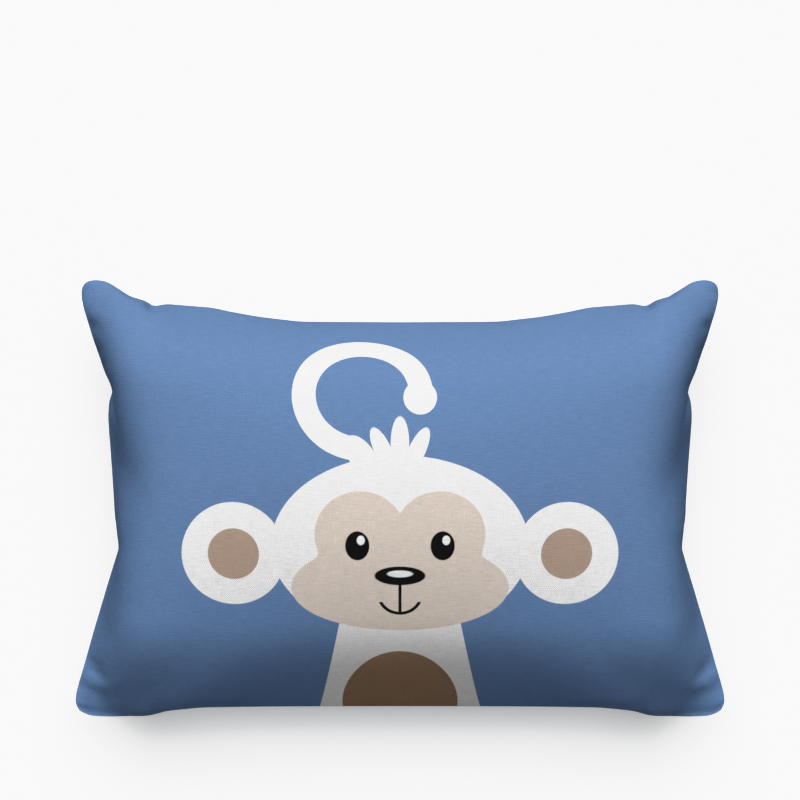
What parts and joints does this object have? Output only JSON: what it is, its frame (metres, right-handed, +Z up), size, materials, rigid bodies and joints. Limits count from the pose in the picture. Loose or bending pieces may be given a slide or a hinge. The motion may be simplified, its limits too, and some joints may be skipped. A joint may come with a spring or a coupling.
{
  "type": "scatter cushion",
  "caption": "Rectangular knife-edge scatter cushion: a printed fabric cover, closed with a concealed zip in its bottom seam, round a soft fibre-filled insert.",
  "frame": {"origin": "on the surface the cushion lies on, below the middle of its box", "axes": "+X along its length, +Y to its top edge, +Z up out of its printed front face. The zip is in the seam at -Y."},
  "size_m": [0.4876, 0.3285, 0.15],
  "materials": {
    "printed_cloth": "matte, printed",
    "plain_cloth": "matte",
    "casing_cloth": "matte",
    "polyester_fibre": "matte",
    "sewing_thread": "matte",
    "zip_tape": "matte",
    "nylon_coil": "satin",
    "zip_metal": "satin"
  },
  "bodies": {
    "cover": {"front_panel": "printed_cloth", "back_panel": "plain_cloth", "cover_seam_thread": "sewing_thread", "insert_casing_front": "casing_cloth", "insert_casing_back": "casing_cloth", "insert_seam_thread": "sewing_thread", "fibre_fill": "polyester_fibre", "zip_tape_front": "zip_tape", "zip_tape_back": "zip_tape", "zip_coil_front": "nylon_coil", "zip_coil_back": "nylon_coil", "zip_stitching_front": "sewing_thread", "zip_stitching_back": "sewing_thread", "zip_top_stop_front": "zip_metal", "zip_top_stop_back": "zip_metal", "zip_bottom_stop": "zip_metal", "zip_bartack_left": "sewing_thread", "zip_bartack_right": "sewing_thread"},
    "slider": {"zip_slider": "zip_metal"},
    "pull_tab": {"zip_pull_tab": "zip_metal"}
  },
  "joints": [
    {"name": "zip_slide", "type": "slide", "parent": "cover", "child": "slider", "axis": [-1, 0, 0], "range_m": [0, 0.3244]},
    {"name": "tab_hinge", "type": "hinge", "parent": "slider", "child": "pull_tab", "pos_m": [0.1622, -0.1537, 0.066], "axis": [0, 0, 1], "range_deg": [0, 180]}
  ]
}
